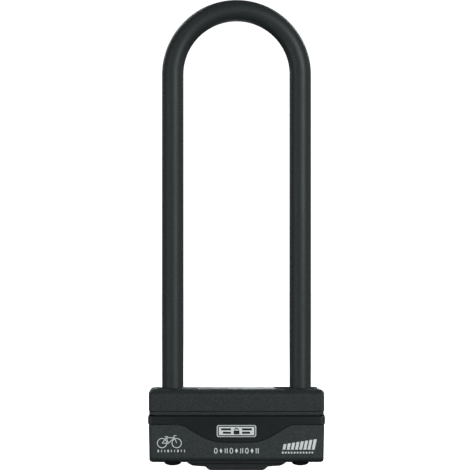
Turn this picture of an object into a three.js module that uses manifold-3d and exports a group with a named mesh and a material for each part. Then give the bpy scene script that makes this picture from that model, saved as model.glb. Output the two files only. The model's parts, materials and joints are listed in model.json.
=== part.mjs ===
// A heavy U lock. A sleeved steel shackle stands with both feet in a steel lock block, where a cam turned
// by a disc cylinder drives one bolt into a notch in each foot. A casing of two shells covers the block.
// Millimetres, +Z up. X runs across the two legs, -Y is the front, and the origin is the middle of the flat
// under the keyway guard, on which the lock stands. The lock is closed and its bolts are drawn back.
import * as THREE from "three";
import { mergeVertices } from "three/addons/utils/BufferGeometryUtils.js";
import Module from "manifold-3d";

const wasm = await Module();
wasm.setup();

// ---- driving dimensions ----
const GAP = 0.3; // room left between pieces that touch
const PAST = 1; // how far a cutter runs past the face it opens

const LEG_X = 51; // each leg's centre, and the radius of the shackle's bend
const BAR = { r: 8, bendZ: 315.5, footZ: 20.2, chamfer: 1.5 };
const SLEEVE = { r: 8.6, boreR: 8.1, footZ: 58.4 };
const NOTCH = { depth: 6, low: 43, high: 54 }; // where a bolt enters each foot

const CASING = { halfX: 69.6, halfY: 19, low: 6.7, high: 64.7, corner: 3, taper: 0.5 };
const CAVITY = { halfX: 66.4, halfY: 16.2, low: 10.3, high: 62.1, corner: 1.2 };
const CROWN = { end: 4.2, edge: 6 }; // the rounding of the top along its ends and its long edges
const BASE = { end: 3, edge: 4.4 }; // the same, round the bottom
const RIM = { low: 44.4, high: 47.4, inset: 0.5 }; // the upper casing's set-back lower edge
const BAND = { halfX: 70.2, halfY: 19.6, low: 37.1, high: 43.8, wall: 1.9, corner: 3.4, inner: 2.2, edge: 1 };
const APRON = { flatX: 46, toeX: 10, low: 22.9, wall: 1.7 }; // the band's wave, front and back
const SPIGOT = { halfX: 68, halfY: 17.4, high: 44.1, corner: 2 }; // the lower casing's collar in the band

const BLOCK = { halfX: 66, halfY: 15.8, low: 10.7, high: 61.8, corner: 1.5, socketR: 8.4, socketLow: 18 };
const CHANNEL = { halfX: 50, halfY: 8.3, low: 43.2, high: 54 }; // where the two bolts slide
const COVER = { halfX: 40, halfY: 13.2, low: 54.2, high: 58.8 };
const COVER_SCREW = { x: 34, y: 10.7, low: 47, headLow: 57.1, shankR: 1.5, headR: 2.3, socketR: 1.2 };
const BOLT = { halfY: 8, low: 43.5, high: 53.5, tipX: 42.4, shoulderX: 12, tailX: -9, tailY: -0.4 };
const BOLT_CORNER = { tip: 2, tail: 1, hook: 0.5 };
const STROKE = 6; // how far each bolt travels
const BUSH = { shankR: 10.2, boreR: 8.95, low: 57.2, seat: 63.2, high: 65.1, chamfer: 0.5 };
const BUSH_PLATE = { halfX: 16.9, halfY: 12, corner: 3, inwards: 4.1 }; // its middle lies inwards of the leg
const PLUG = { headR: 6.75, low: 2.8, bulge: 4, rim: 5.3, headHigh: 6.4, shankR: 4.7, high: 17.7 };
const DOME_PULL = 4.2; // how far the flat of the plug's dome reaches
const BUFFER = { r: 7.6, low: 18.3, high: 19.9, chamfer: 0.4 };

const SHELL = { r: 12, boreR: 8.4, lipR: 6.3, low: 5.2, lipHigh: 6.6, high: 38.6, chamfer: 0.6 };
const SIDEBAR_GROOVE = { depth: 1.3, halfWidth: 1.4 };
const CARRIER = { r: 8.1, boreR: 6.75, low: 6.9, cupHigh: 33.2, high: 36, tail: 3.7, tailHigh: 41 };
const DRILL_GUARD = { low: 7.5, high: 9.2 };
const DISC = { r: 6.45, sides: 20, count: 8, low: 9.5, pitch: 2.9, thick: 2.1 };
const SPACER = { thick: 0.5, boreR: 4.2 };
const KEY = { halfWidth: 1.7, halfDepth: 3.8, corner: 1 };
const KEY_CUTS = [0, 18, 36, 9, 27, 0, 36, 18]; // each disc's own turn in degrees, which is the lock's code
const SIDEBAR = { halfWidth: 0.9, inner: 5.2, outer: 8, low: 9.6, high: 32.4 };
const CAM = { r: 9.6, low: 38.9, high: 43, socket: 4, socketHigh: 41.4, pinR: 1.8, pinHigh: 53 };
const RING = { r: 9.2, boreR: 6.6, low: 36.3, high: 37.9, mouth: 2 };
const CROSS_PIN = { x: 13, z: 24, r: 1.8, front: -6 };

const GUARD = { halfY: 13.5, high: 6.4, topX: 39.1, stepX: 33, stepZ: 3.5, waistX: 25.3, waistZ: 3 };
const GUARD_CURVE = { topX: 1, topZ: 1.7, step: 2.4, waist: 1.1, foot: 2.8 }; // how far its curves reach
const GUARD_LIP = { halfY: 16.8, low: 6.1, high: 7.6 }; // the guard's rim, let into the casing's floor
const FOOT = { halfX: 19.8, edge: 1.4 }; // the flat under the guard
const TRACK = { start: -7.6, lipY: 6.5, lipHigh: 1.2, halfY: 8.5, high: 3, openingR: 6.2 }; // a T slot
const SLIDER = { halfX: 7.2, padY: 6.2, low: 0.3, flangeLow: 1.5, flangeY: 8.2, high: 2.7, corner: 1 };
const THUMB_GROOVE = { pitch: 2, halfWidth: 0.5, depth: 0.6, end: 1.4 };
const STOP = { x: 21.9, r: 1, low: 0.9, high: 4.7 };
const GUARD_SCREW = { x: 30, headR: 2.8, shankR: 1.5, low: 3.8, coneLow: 4.1, headHigh: 4.9, high: 15 };
const SCREW_SLOT = { halfWidth: 0.4, depth: 0.5 };

const ROUND = 24; // sides of a bore or a shaft
const SMALL = 12; // sides of a screw or its hole
const BEND_STEPS = 20;

// ---- materials ----
const look = (color, roughness, metalness) => new THREE.MeshStandardMaterial({ color, roughness, metalness });
const LOOKS = {
  vinyl: look(0x333738, 0.5, 0),
  shell: look(0x343839, 0.55, 0),
  gloss: look(0x222627, 0.25, 0),
  trim: look(0x1b1d1e, 0.6, 0),
  rubber: look(0x141414, 0.9, 0),
  steel: look(0x8c8f92, 0.35, 1),
  hardened: look(0x55585b, 0.4, 1),
  brass: look(0xb08d4f, 0.35, 1),
};

// ---- solids ----
function solid(geometry) {
  const bare = geometry.index ? geometry.toNonIndexed() : geometry.clone();
  bare.deleteAttribute("normal");
  bare.deleteAttribute("uv");
  const merged = mergeVertices(bare, 1e-4);
  const vertProperties = merged.attributes.position.array;
  const triVerts = new Uint32Array(merged.index.array);
  return new wasm.Manifold(new wasm.Mesh({ numProp: 3, vertProperties, triVerts }));
}

function geometryOf(body) {
  const mesh = body.getMesh();
  const geometry = new THREE.BufferGeometry();
  geometry.setAttribute("position", new THREE.BufferAttribute(mesh.vertProperties, 3));
  geometry.setIndex(new THREE.BufferAttribute(mesh.triVerts, 1));
  const faceted = geometry.toNonIndexed();
  faceted.computeVertexNormals();
  return faceted;
}

const joined = (...bodies) => bodies.reduce((whole, body) => whole.add(body));
const without = (body, ...cutters) => cutters.reduce((rest, cutter) => rest.subtract(cutter), body);
const common = (...bodies) => bodies.reduce((whole, body) => whole.intersect(body));
const bothSides = (body) => joined(body, body.mirror([1, 0, 0]));

function box(x0, x1, y0, y1, z0, z1) {
  const geometry = new THREE.BoxGeometry(x1 - x0, y1 - y0, z1 - z0);
  return solid(geometry.translate((x0 + x1) / 2, (y0 + y1) / 2, (z0 + z1) / 2));
}

// An upright rod, from z0 to z1.
function rod(x, y, z0, z1, r, sides = ROUND) {
  const geometry = new THREE.CylinderGeometry(r, r, z1 - z0, sides).rotateX(Math.PI / 2);
  return solid(geometry.translate(x, y, (z0 + z1) / 2));
}

// A turned piece about Z, from its profile of [radius, height] taken anticlockwise.
function turned(profile, sides = ROUND) {
  const points = profile.map(([r, z]) => new THREE.Vector2(r, z));
  return solid(new THREE.LatheGeometry(points, sides).rotateX(Math.PI / 2));
}

// A closed outline through corners of [x, y, r], each cut back by r on both sides and rounded.
function outline(corners) {
  const shape = new THREE.Shape();
  corners.forEach(([x, y, r = 0], i) => {
    const corner = new THREE.Vector2(x, y);
    const cutBack = ([nextX, nextY]) => new THREE.Vector2(nextX, nextY).sub(corner).setLength(r).add(corner);
    const start = cutBack(corners.at(i - 1));
    const end = cutBack(corners.at((i + 1) % corners.length));
    if (i === 0) shape.moveTo(start.x, start.y);
    else shape.lineTo(start.x, start.y);
    if (r > 0) shape.quadraticCurveTo(x, y, end.x, end.y);
  });
  shape.closePath();
  return shape;
}

// A rectangle about the Y axis, whose lower corners may be rounded and spaced unlike its upper ones.
const rectangle = (halfX, y0, y1, r0 = 0, r1 = r0, lowX = halfX) =>
  outline([[-lowX, y0, r0], [lowX, y0, r0], [halfX, y1, r1], [-halfX, y1, r1]]);

function extruded(shape, depth, curveSegments) {
  return new THREE.ExtrudeGeometry(shape, { depth, steps: 1, bevelEnabled: false, curveSegments });
}

// An outline drawn in plan, from above, raised from z0 to z1.
const fromPlan = (shape, z0, z1, fine = 4) => solid(extruded(shape, z1 - z0, fine).translate(0, 0, z0));

// An outline drawn as seen from the front, carried from y0 back to y1.
function fromFront(shape, y0, y1, fine = 5) {
  return solid(extruded(shape, y1 - y0, fine).rotateX(Math.PI / 2).translate(0, y1, 0));
}

// An outline of [y, z], as seen from the side, carried from -halfX to halfX.
function fromSide(shape, halfX, fine = 5) {
  const axes = [new THREE.Vector3(0, 1, 0), new THREE.Vector3(0, 0, 1), new THREE.Vector3(1, 0, 0)];
  const turn = new THREE.Matrix4().makeBasis(...axes);
  return solid(extruded(shape, 2 * halfX, fine).translate(0, 0, -halfX).applyMatrix4(turn));
}

// A block rounded three ways: its corners in plan, its ends as seen from the front, its edges from the side.
function roundedBlock({ halfX, lowX = halfX, halfY, low, high, corner, end = [0, 0], edge = [0, 0] }) {
  return common(
    fromPlan(rectangle(halfX, -halfY, halfY, corner), low - PAST, high + PAST),
    fromFront(rectangle(halfX, low, high, end[0], end[1], lowX), -halfY - PAST, halfY + PAST),
    fromSide(rectangle(halfY, low, high, edge[0], edge[1]), halfX + PAST),
  );
}

// ---- shackle ----
// The centreline: up the left leg, round the bend in even steps, and down the right leg.
class ShackleLine extends THREE.Curve {
  constructor(footZ) {
    super();
    this.footZ = footZ;
    this.steps = BEND_STEPS + 2;
  }

  at(u) {
    const step = u * this.steps;
    const bend = THREE.MathUtils.clamp((step - 1) / BEND_STEPS, 0, 1);
    const leg = Math.min(step, this.steps - step, 1);
    return { angle: Math.PI * (1 - bend), height: THREE.MathUtils.lerp(this.footZ, BAR.bendZ, leg) };
  }

  getPointAt(u, target = new THREE.Vector3()) {
    const { angle, height } = this.at(u);
    return target.set(LEG_X * Math.cos(angle), 0, height + LEG_X * Math.sin(angle));
  }

  getTangentAt(u, target = new THREE.Vector3()) {
    const { angle } = this.at(u);
    return target.set(Math.sin(angle), 0, -Math.cos(angle));
  }
}

function bentBar(r, footZ, boreR = 0) {
  const section = new THREE.Shape().absarc(0, 0, r, 0, 2 * Math.PI);
  if (boreR) section.holes.push(new THREE.Path().absarc(0, 0, boreR, 0, 2 * Math.PI));
  const extrudePath = new ShackleLine(footZ);
  const settings = { steps: extrudePath.steps, extrudePath, curveSegments: ROUND / 2 };
  return solid(new THREE.ExtrudeGeometry(section, settings));
}

function shackleBar() {
  const { r, footZ, chamfer } = BAR;
  const inner = LEG_X - r;
  const notch = box(inner - PAST, inner + NOTCH.depth, -r - PAST, r + PAST, NOTCH.low, NOTCH.high);
  const corner = [r - chamfer - PAST, footZ - PAST];
  const footEdge = turned([corner, [r + PAST, footZ - PAST], [r + PAST, footZ + chamfer + PAST], corner]);
  return without(bentBar(r, footZ), bothSides(joined(notch, footEdge.translate([LEG_X, 0, 0]))));
}

const shackleSleeve = () => bentBar(SLEEVE.r, SLEEVE.footZ, SLEEVE.boreR);

// ---- casing ----
// The wave-shaped apron's outline from the front, grown by a margin.
function apronShape(grow) {
  const flat = APRON.flatX + grow;
  const toe = APRON.toeX + grow;
  const low = APRON.low - grow;
  const shoulder = BAND.low - grow;
  const flatPull = 7.5;
  const toePull = 17;
  const shape = new THREE.Shape().moveTo(-flat, BAND.high).lineTo(-flat, shoulder);
  shape.bezierCurveTo(-flat + flatPull, shoulder, -toe - toePull, low, -toe, low);
  shape.lineTo(toe, low);
  shape.bezierCurveTo(toe + toePull, low, flat - flatPull, shoulder, flat, shoulder);
  return shape.lineTo(flat, BAND.high).closePath();
}

// The apron as a slab on the front and one on the back, between two distances from the middle.
function apronSlabs(inner, outer, grow) {
  const slab = fromFront(apronShape(grow), -outer, -inner, 8);
  return joined(slab, slab.mirror([0, 1, 0]));
}

function upperCasing() {
  const { halfX, halfY, high, corner } = CASING;
  const { inset } = RIM;
  const crown = { halfX, halfY, low: RIM.high, high, corner, end: [0, CROWN.end], edge: [0, CROWN.edge] };
  const rim = { halfX: halfX - inset, halfY: halfY - inset, low: RIM.low, high: RIM.high + PAST, corner };
  const legHole = rod(0, 0, CAVITY.high - PAST, high + PAST, BUSH.shankR + GAP);
  const plateSeat = bushPlate(GAP, BUSH.seat - GAP, high + PAST);
  return without(
    joined(roundedBlock(crown), roundedBlock(rim)),
    roundedBlock({ ...CAVITY, low: RIM.low - PAST }),
    bothSides(joined(legHole, plateSeat).translate([LEG_X, 0, 0])),
  );
}

function lowerCasing() {
  const { halfX, halfY, low, corner, taper } = CASING;
  const ends = { lowX: halfX - taper, end: [BASE.end, 0], edge: [BASE.edge, 0] };
  const cup = roundedBlock({ halfX, halfY, low, high: BAND.low - GAP, corner, ...ends });
  const apronSeat = apronSlabs(BAND.halfY - APRON.wall - GAP, BAND.halfY + PAST, GAP);
  const spigot = roundedBlock({ ...SPIGOT, low: CAVITY.low });
  const floorHole = (x, r, sides) => rod(x, 0, low - PAST, CAVITY.low + PAST, r + GAP, sides);
  const seatX = GUARD.topX + GAP;
  const guardSeat = box(-seatX, seatX, -halfY - PAST, halfY + PAST, low - PAST, GUARD_LIP.high + GAP);
  return without(
    joined(without(cup, apronSeat), spigot),
    roundedBlock({ ...CAVITY, high: SPIGOT.high + PAST }),
    bothSides(joined(floorHole(LEG_X, PLUG.shankR), floorHole(GUARD_SCREW.x, GUARD_SCREW.shankR, SMALL))),
    floorHole(0, SHELL.r),
    guardSeat,
  );
}

function trimBand() {
  const { halfX, halfY, low, high, wall, corner, inner, edge } = BAND;
  const outer = roundedBlock({ halfX, halfY, low, high, corner, end: [0, edge], edge: [0, edge] });
  const inside = { halfX: halfX - wall, halfY: halfY - wall, corner: inner };
  const bore = { ...inside, low: low - PAST, high: high + PAST };
  const belowEdge = box(-halfX, halfX, -halfY - PAST, halfY + PAST, APRON.low - PAST, high - wall);
  const apron = common(apronSlabs(halfY - APRON.wall, halfY, 0), belowEdge);
  return joined(without(outer, roundedBlock(bore)), apron);
}

// ---- lock block and what closes it ----
function lockBlock() {
  const { low, high, halfY, socketR, socketLow } = BLOCK;
  const legSocket = joined(
    rod(LEG_X, 0, socketLow, high + PAST, socketR),
    rod(LEG_X, 0, BUSH.low - GAP, high + PAST, BUSH.shankR + GAP),
    rod(LEG_X, 0, low - PAST, socketLow + PAST, PLUG.shankR + GAP),
  );
  const guardHole = screwHole(GUARD_SCREW.x, 0, low - PAST, GUARD_SCREW.high + GAP);
  return without(
    roundedBlock(BLOCK),
    bothSides(joined(legSocket, guardHole)),
    rod(0, 0, low - PAST, SHELL.high + GAP, SHELL.r + GAP),
    rod(0, 0, SHELL.high, CHANNEL.low + PAST, CAM.r + GAP),
    box(-CHANNEL.halfX, CHANNEL.halfX, -CHANNEL.halfY, CHANNEL.halfY, CHANNEL.low, CHANNEL.high),
    coverSlab(GAP, CHANNEL.high - GAP / 2, high + PAST),
    crossRod(CROSS_PIN.r + GAP, CROSS_PIN.front - GAP, halfY + PAST),
    ...coverScrewPlaces().map(([x, y]) => screwHole(x, y, COVER_SCREW.low - GAP, COVER.low)),
  );
}

const screwHole = (x, y, z0, z1) => rod(x, y, z0, z1, COVER_SCREW.shankR + GAP, SMALL);

// A rod along Y through the cross pin's place.
function crossRod(r, y0, y1) {
  const geometry = new THREE.CylinderGeometry(r, r, y1 - y0, SMALL);
  return solid(geometry.translate(CROSS_PIN.x, (y0 + y1) / 2, CROSS_PIN.z));
}

const crossPin = () => crossRod(CROSS_PIN.r, CROSS_PIN.front, BLOCK.halfY - GAP);

function coverScrewPlaces() {
  const { x, y } = COVER_SCREW;
  return [[-x, -y], [-x, y], [x, -y], [x, y]];
}

const coverSlab = (grow, z0, z1) =>
  box(-COVER.halfX - grow, COVER.halfX + grow, -COVER.halfY - grow, COVER.halfY + grow, z0, z1);

function boltCover() {
  const { low, high } = COVER;
  const { headR, headLow } = COVER_SCREW;
  const holes = coverScrewPlaces().map(([x, y]) => joined(
    screwHole(x, y, low - PAST, high + PAST),
    rod(x, y, headLow - GAP, high + PAST, headR + GAP, SMALL),
  ));
  return without(coverSlab(0, low, high), ...holes);
}

// A cap screw with its head up, sunk flush in the cover.
function coverScrew(x, y) {
  const { low, headLow, shankR, headR, socketR } = COVER_SCREW;
  const { high } = COVER;
  const profile = [[0, low], [shankR, low], [shankR, headLow], [headR, headLow], [headR, high], [0, high]];
  const socket = rod(0, 0, (headLow + high) / 2, high + PAST, socketR, 6);
  return without(turned(profile, SMALL), socket).translate([x, y, 0]);
}

// The oblong plate about the right leg, from the leg's own axis, grown by a margin.
function bushPlate(grow, low, high, round = 0) {
  const { halfX, halfY, corner, inwards } = BUSH_PLATE;
  const sides = { halfX: halfX + grow, halfY: halfY + grow, corner: corner + grow };
  return roundedBlock({ ...sides, low, high, end: [0, round], edge: [0, round] }).translate([-inwards, 0, 0]);
}

// The bush that guides the right leg, and whose plate holds the upper casing down.
function legBush() {
  const { shankR, boreR, low, seat, high, chamfer } = BUSH;
  const mouth = [[boreR, high - chamfer], [boreR + chamfer + PAST, high + PAST], [0, high + PAST]];
  return without(
    joined(bushPlate(0, seat, high, chamfer), rod(0, 0, low, seat + PAST, shankR)),
    turned([[0, low - PAST], [boreR, low - PAST], ...mouth]),
  );
}

// The plug under each leg: a shank up into the block and a domed head under the casing.
function socketPlug() {
  const { headR, low, bulge, rim, headHigh, shankR, high } = PLUG;
  const dome = new THREE.Path().moveTo(0, low).bezierCurveTo(DOME_PULL, low, headR, bulge, headR, rim);
  const face = dome.getPoints(5).map(({ x, y }) => [x, y]);
  return turned([...face, [headR, headHigh], [shankR, headHigh], [shankR, high], [0, high]]);
}

function legBuffer() {
  const { r, low, high, chamfer } = BUFFER;
  return turned([[0, low], [r, low], [r, high - chamfer], [r - chamfer, high], [0, high]]);
}

// ---- bolts and cam ----
// The right bolt, drawn back. Its tail is half as wide as its head, and hooks the cam's front pin.
function rightBolt() {
  const { halfY, low, high, tipX, shoulderX, tailX, tailY } = BOLT;
  const { tip, tail, hook } = BOLT_CORNER;
  const plan = outline([
    [tailX, -halfY, tail], [tipX, -halfY, tip], [tipX, halfY, tip],
    [shoulderX, halfY, tail], [shoulderX, tailY, hook], [tailX, tailY, hook],
  ]);
  const swingRoom = 0.55; // the pin swings on a circle while the bolt runs straight
  const slotHalf = CAM.pinR + swingRoom;
  const tailWall = 1.5;
  const slotX = -STROKE / 2;
  const slot = box(slotX - slotHalf, slotX + slotHalf, tailWall - halfY, PAST, low - PAST, high + PAST);
  return without(fromPlan(plan, low, high, 3), slot);
}

// The left bolt is the right one turned half round.
const leftBolt = () => rightBolt().rotate([0, 0, 180]);

// A disc on the carrier's square tail, with a pin for each bolt that swings a quarter turn.
function boltCam() {
  const { r, low, high, socket, socketHigh, pinR, pinHigh } = CAM;
  const pinX = STROKE / 2;
  return joined(
    without(rod(0, 0, low, high, r), box(-socket, socket, -socket, socket, low - PAST, socketHigh)),
    rod(pinX, pinX, high - PAST, pinHigh, pinR, SMALL),
    rod(-pinX, -pinX, high - PAST, pinHigh, pinR, SMALL),
  );
}

// ---- cylinder ----
function cylinderShell() {
  const { r, boreR, lipR, low, lipHigh, high, chamfer } = SHELL;
  const { depth, halfWidth } = SIDEBAR_GROOVE;
  const tube = turned([
    [lipR, low], [r - chamfer, low], [r, low + chamfer], [r, high],
    [boreR, high], [boreR, lipHigh], [lipR, lipHigh], [lipR, low],
  ]);
  return without(
    tube,
    rod(0, 0, RING.low - GAP, RING.high + GAP, RING.r + GAP),
    box(-boreR - depth, -lipR, -halfWidth, halfWidth, SIDEBAR.low - GAP, SIDEBAR.high + GAP),
    crossRod(CROSS_PIN.r + GAP, -r, r),
  );
}

// The snap ring that keeps the disc carrier in, with its mouth to the back.
function coreRing() {
  const { r, boreR, low, high, mouth } = RING;
  const ring = turned([[boreR, low], [r, low], [r, high], [boreR, high], [boreR, low]]);
  return without(ring, box(-mouth, mouth, 0, r + PAST, low - PAST, high + PAST));
}

function discCarrier() {
  const { r, boreR, low, cupHigh, high, tail, tailHigh } = CARRIER;
  const inside = [[0, cupHigh], [boreR, cupHigh], [boreR, low]];
  const cup = turned([[boreR, low], [r, low], [r, high], [0, high], ...inside]);
  const drive = box(-tail, tail, -tail, tail, high - PAST, tailHigh);
  return without(joined(cup, drive), gateSlot(boreR - PAST, SIDEBAR.low - GAP, SIDEBAR.high + GAP));
}

// Room for the sidebar, from a given distance off the axis outwards.
const gateSlot = (inner, z0, z1) =>
  box(-SIDEBAR.halfWidth - GAP, SIDEBAR.halfWidth + GAP, inner, CARRIER.r + PAST, z0, z1);

// The gates of the whole stack, lined up under the sidebar.
const gates = () => gateSlot(SIDEBAR.inner - GAP, 0, CARRIER.high);

// The key's slot through the whole stack, turned from the Y axis.
function keySlot(turn = 0) {
  const { halfWidth, halfDepth, corner } = KEY;
  const slot = rectangle(halfWidth, -halfDepth, halfDepth, corner);
  return fromPlan(slot, 0, CARRIER.high, 1).rotate([0, 0, turn]);
}

function disc(i) {
  const low = DISC.low + i * DISC.pitch;
  const blank = rod(0, 0, low, low + DISC.thick, DISC.r, DISC.sides);
  return without(blank, keySlot(), keySlot(KEY_CUTS[i]), gates());
}

// A thin washer between two discs.
function spacer(i) {
  const low = DISC.low + i * DISC.pitch + (DISC.pitch + DISC.thick - SPACER.thick) / 2;
  const blank = rod(0, 0, low, low + SPACER.thick, DISC.r, DISC.sides);
  return without(blank, rod(0, 0, low - PAST, low + PAST, SPACER.boreR, SMALL), gates());
}

// The hardened disc in front of the stack, which turns with the key and stops a drill.
const drillGuard = () => without(rod(0, 0, DRILL_GUARD.low, DRILL_GUARD.high, DISC.r, DISC.sides), keySlot());

function sidebar() {
  const { halfWidth, inner, outer, low, high } = SIDEBAR;
  return box(-halfWidth, halfWidth, inner, outer, low, high);
}

// ---- keyway guard and its sliding cover ----
function guardShape() {
  const { high, topX, stepX, stepZ, waistX, waistZ } = GUARD;
  const footX = FOOT.halfX;
  const nearTop = [topX - GUARD_CURVE.topX, stepZ + GUARD_CURVE.topZ];
  const nearStep = stepX + GUARD_CURVE.step;
  const nearWaist = waistX - GUARD_CURVE.waist;
  const nearFoot = footX + GUARD_CURVE.foot;
  const shape = new THREE.Shape().moveTo(-topX, high);
  shape.bezierCurveTo(-nearTop[0], nearTop[1], -nearStep, stepZ, -stepX, stepZ);
  shape.lineTo(-waistX, waistZ);
  shape.bezierCurveTo(-nearWaist, waistZ, -nearFoot, 0, -footX, 0);
  shape.lineTo(footX, 0);
  shape.bezierCurveTo(nearFoot, 0, nearWaist, waistZ, waistX, waistZ);
  shape.lineTo(stepX, stepZ);
  return shape.bezierCurveTo(nearStep, stepZ, ...nearTop, topX, high).closePath();
}

function keywayGuard() {
  const { halfY, high, topX } = GUARD;
  const body = common(
    fromFront(guardShape(), -halfY, halfY, 6),
    fromSide(rectangle(halfY, 0, high, FOOT.edge, 0), topX + PAST),
  );
  const lip = box(-topX, topX, -GUARD_LIP.halfY, GUARD_LIP.halfY, GUARD_LIP.low, GUARD_LIP.high);
  const { x, headR, headHigh } = GUARD_SCREW;
  const shankHole = screwHole(x, 0, 0, GUARD_LIP.high + PAST);
  const sunkHole = joined(shankHole, rod(x, 0, 0, headHigh + GAP, headR + GAP));
  return without(
    joined(body, lip),
    box(TRACK.start, topX, -TRACK.lipY, TRACK.lipY, -PAST, TRACK.high),
    box(TRACK.start, topX, -TRACK.halfY, TRACK.halfY, TRACK.lipHigh, TRACK.high),
    rod(0, 0, 0, high, TRACK.openingR),
    rod(0, 0, SHELL.low - GAP, GUARD_LIP.high + PAST, SHELL.r + GAP),
    rod(STOP.x, 0, 0, STOP.high + GAP, STOP.r + GAP, SMALL),
    bothSides(sunkHole),
  );
}

// A flange that runs in the guard's T slot, and a grooved pad for the thumb below it.
function keywayCover() {
  const { halfX, padY, low, flangeLow, flangeY, high, corner } = SLIDER;
  const { pitch, halfWidth, depth, end } = THUMB_GROOVE;
  const flange = fromPlan(rectangle(halfX, -flangeY, flangeY, corner), flangeLow, high, 3);
  const pad = fromPlan(rectangle(halfX, -padY, padY, corner), low, high, 3);
  const grooves = [-2, -1, 0, 1, 2].map((i) =>
    box(i * pitch - halfWidth, i * pitch + halfWidth, end - padY, padY - end, low - PAST, low + depth));
  return without(joined(flange, pad), ...grooves);
}

const coverStop = () => rod(STOP.x, 0, STOP.low, STOP.high, STOP.r, SMALL);

// A countersunk screw up through the guard and the casing into the block.
function guardScrew() {
  const { headR, shankR, low, coneLow, headHigh, high } = GUARD_SCREW;
  const { halfWidth, depth } = SCREW_SLOT;
  const profile = [[0, low], [headR, low], [headR, coneLow], [shankR, headHigh], [shankR, high], [0, high]];
  const slot = box(-headR - PAST, headR + PAST, -halfWidth, halfWidth, low - PAST, low + depth);
  return without(turned(profile, SMALL), slot);
}

// ---- assembly ----
function addTo(group, name, body, finish) {
  const mesh = new THREE.Mesh(geometryOf(body), LOOKS[finish]);
  mesh.name = name;
  group.add(mesh);
}

// A piece made about its own axis goes at x, and its mirror image at -x.
function addPair(group, name, body, x, finish) {
  const right = body.translate([x, 0, 0]);
  addTo(group, `left_${name}`, right.mirror([1, 0, 0]), finish);
  addTo(group, `right_${name}`, right, finish);
}

function shackleGroup() {
  const group = new THREE.Group();
  addTo(group, "shackle_bar", shackleBar(), "steel");
  addTo(group, "shackle_sleeve", shackleSleeve(), "vinyl");
  return group;
}

function bodyGroup() {
  const group = new THREE.Group();
  addTo(group, "upper_casing", upperCasing(), "shell");
  addTo(group, "lower_casing", lowerCasing(), "shell");
  addTo(group, "trim_band", trimBand(), "gloss");
  addTo(group, "lock_block", lockBlock(), "hardened");
  addTo(group, "bolt_cover", boltCover(), "steel");
  coverScrewPlaces().forEach(([x, y], i) => addTo(group, `cover_screw_${i + 1}`, coverScrew(x, y), "steel"));
  addPair(group, "leg_bush", legBush(), LEG_X, "trim");
  addPair(group, "leg_buffer", legBuffer(), LEG_X, "rubber");
  addPair(group, "socket_plug", socketPlug(), LEG_X, "trim");
  addTo(group, "cylinder_shell", cylinderShell(), "brass");
  addTo(group, "core_ring", coreRing(), "steel");
  addTo(group, "cross_pin", crossPin(), "steel");
  addTo(group, "keyway_guard", keywayGuard(), "trim");
  addPair(group, "guard_screw", guardScrew(), GUARD_SCREW.x, "steel");
  addTo(group, "cover_stop", coverStop(), "steel");
  return group;
}

function coreGroup() {
  const group = new THREE.Group();
  addTo(group, "disc_carrier", discCarrier(), "brass");
  addTo(group, "drill_guard", drillGuard(), "hardened");
  for (let i = 0; i < DISC.count; i++) addTo(group, `disc_${i + 1}`, disc(i), "brass");
  for (let i = 0; i < DISC.count - 1; i++) addTo(group, `disc_spacer_${i + 1}`, spacer(i), "steel");
  addTo(group, "sidebar", sidebar(), "steel");
  addTo(group, "bolt_cam", boltCam(), "hardened");
  return group;
}

const lock = new THREE.Group();
lock.add(shackleGroup(), bodyGroup(), coreGroup());
addTo(lock, "left_bolt", leftBolt(), "hardened");
addTo(lock, "right_bolt", rightBolt(), "hardened");
addTo(lock, "keyway_cover", keywayCover(), "trim");

export default lock;
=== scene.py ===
"""A heavy U lock for bicycles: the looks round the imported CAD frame. Sizes are millimetres until placing."""
import json
import math

import bmesh
import bpy
from mathutils import Matrix, Vector


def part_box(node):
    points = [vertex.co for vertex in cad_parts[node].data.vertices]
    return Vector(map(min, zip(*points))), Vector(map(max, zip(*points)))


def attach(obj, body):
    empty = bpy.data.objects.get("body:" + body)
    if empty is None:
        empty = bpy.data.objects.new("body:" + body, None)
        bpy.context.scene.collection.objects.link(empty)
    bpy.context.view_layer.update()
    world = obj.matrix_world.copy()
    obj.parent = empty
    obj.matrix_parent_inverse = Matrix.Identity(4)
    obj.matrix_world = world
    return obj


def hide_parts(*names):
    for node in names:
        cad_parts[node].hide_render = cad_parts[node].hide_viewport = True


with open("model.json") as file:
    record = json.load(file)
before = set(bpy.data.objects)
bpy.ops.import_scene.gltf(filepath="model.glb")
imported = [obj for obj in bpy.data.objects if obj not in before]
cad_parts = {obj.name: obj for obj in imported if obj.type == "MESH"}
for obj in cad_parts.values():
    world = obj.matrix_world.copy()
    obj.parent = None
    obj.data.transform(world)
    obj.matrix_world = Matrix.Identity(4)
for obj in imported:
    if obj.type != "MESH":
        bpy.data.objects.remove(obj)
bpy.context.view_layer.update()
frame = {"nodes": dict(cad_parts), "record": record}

MM = 0.001


def span(node):
    """A CAD node's lowest and highest corners, in millimetres."""
    low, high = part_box(node)
    return low / MM, high / MM


# ---- sizes that follow the frame ----
UPPER_LOW, UPPER_HIGH = span("upper_casing")
LOWER_LOW, LOWER_HIGH = span("lower_casing")
BAND_HIGH = span("trim_band")[1]
GUARD_HIGH = span("keyway_guard")[1]
COVER_LOW, COVER_HIGH = span("keyway_cover")
SLEEVE_LOW, SLEEVE_HIGH = span("shackle_sleeve")
BAR_LOW, BAR_HIGH = span("shackle_bar")
PLUG_LOW, PLUG_HIGH = span("right_socket_plug")
BUSH_LOW, BUSH_HIGH = span("right_leg_bush")
CYLINDER_HIGH = span("cylinder_shell")[1]

SLEEVE_R = SLEEVE_HIGH.y
BAR_R = BAR_HIGH.y
LEG_X = SLEEVE_HIGH.x - SLEEVE_R
BEND_Z = SLEEVE_HIGH.z - SLEEVE_R - LEG_X

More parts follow.
